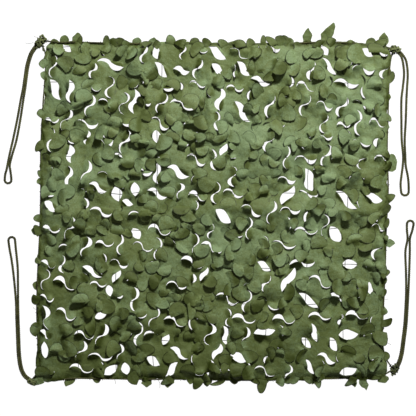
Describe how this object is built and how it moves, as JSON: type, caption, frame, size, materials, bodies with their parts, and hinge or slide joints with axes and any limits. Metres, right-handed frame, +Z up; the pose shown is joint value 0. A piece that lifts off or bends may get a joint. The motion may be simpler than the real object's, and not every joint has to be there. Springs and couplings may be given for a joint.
{
  "type": "camouflage net",
  "caption": "Square of leaf-cut camouflage cloth lying flat on a string net, edged with rope, knotted at its corners, with a looped tie cord from each knot.",
  "frame": {"origin": "middle of the net and its knots, without the tie cords, at the surface that it lies on", "axes": "+X along the top edge to its right end, +Y from the bottom edge to the top edge, +Z up from the surface"},
  "size_m": [1.2252, 1.101, 0.0312],
  "materials": {
    "leaf_cloth": "matt coated cloth, olive green",
    "string": "matt dark green thread",
    "cord": "matt dark olive twisted cord"
  },
  "bodies": {
    "root": {"leaf_cloth": "leaf_cloth", "string_net": "string", "edge_rope_top": "cord", "edge_rope_right": "cord", "edge_rope_bottom": "cord", "edge_rope_left": "cord", "knot_top_left": "cord", "knot_top_right": "cord", "knot_bottom_right": "cord", "knot_bottom_left": "cord", "tie_top_left": "cord", "tie_top_right": "cord", "tie_bottom_right": "cord", "tie_bottom_left": "cord"}
  },
  "joints": []
}
